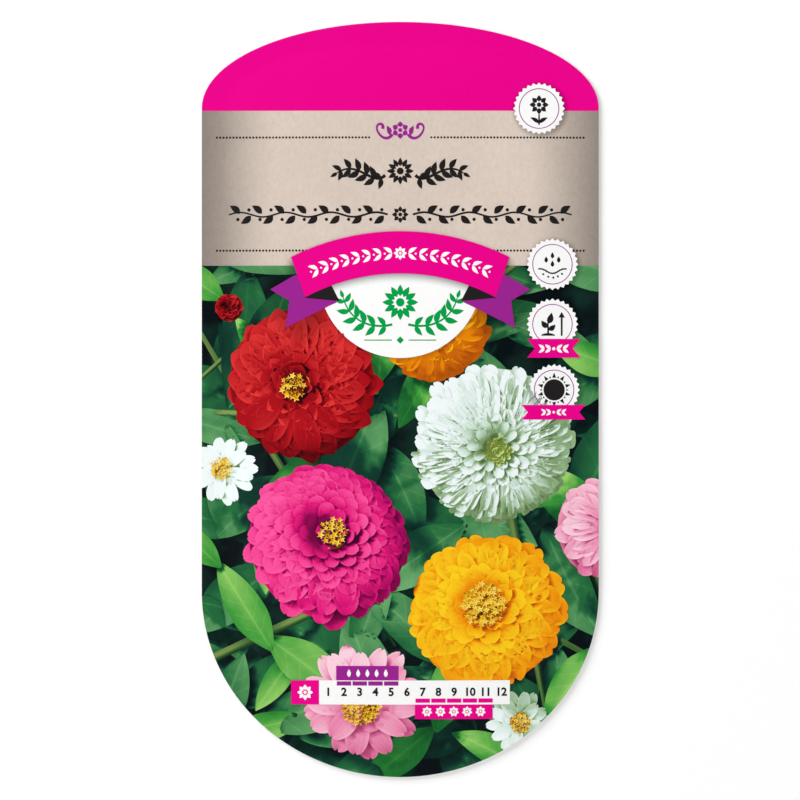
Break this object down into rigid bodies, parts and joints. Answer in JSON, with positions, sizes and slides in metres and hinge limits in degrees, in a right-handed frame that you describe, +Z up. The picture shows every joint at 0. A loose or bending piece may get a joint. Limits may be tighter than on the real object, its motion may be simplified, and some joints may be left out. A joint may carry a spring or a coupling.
{
  "type": "seed packet",
  "caption": "Flat sealed packet for flower seeds, with a domed top and a round lower end; its printed front swells over the loose seeds inside.",
  "frame": {"origin": "on the surface that the packet lies on, under the middle of its bounding box", "axes": "+X to the right across the printed front, +Y towards the domed top, +Z up out of the printed front"},
  "size_m": [0.095, 0.1808, 0.0039],
  "materials": {
    "front_board": "thin white board, printed in colour, satin varnish, white at the cut edge",
    "back_board": "thin white board, lightly printed, uncoated and matt",
    "glue": "dried dispersion glue, milky and slightly yellow",
    "seed": "dry ribbed husk, matt grey-brown"
  },
  "bodies": {
    "root": {"front_panel": "front_board", "back_panel": "back_board", "glue_seam": "glue", "seed_01": "seed", "seed_02": "seed", "seed_03": "seed", "seed_04": "seed", "seed_05": "seed", "seed_06": "seed", "seed_07": "seed", "seed_08": "seed", "seed_09": "seed", "seed_10": "seed", "seed_11": "seed", "seed_12": "seed", "seed_13": "seed", "seed_14": "seed", "seed_15": "seed", "seed_16": "seed", "seed_17": "seed", "seed_18": "seed", "seed_19": "seed", "seed_20": "seed", "seed_21": "seed", "seed_22": "seed", "seed_23": "seed", "seed_24": "seed", "seed_25": "seed", "seed_26": "seed", "seed_27": "seed", "seed_28": "seed", "seed_29": "seed", "seed_30": "seed", "seed_31": "seed", "seed_32": "seed", "seed_33": "seed", "seed_34": "seed", "seed_35": "seed", "seed_36": "seed", "seed_37": "seed", "seed_38": "seed", "seed_39": "seed", "seed_40": "seed", "seed_41": "seed", "seed_42": "seed", "seed_43": "seed", "seed_44": "seed", "seed_45": "seed", "seed_46": "seed", "seed_47": "seed", "seed_48": "seed"}
  },
  "joints": []
}
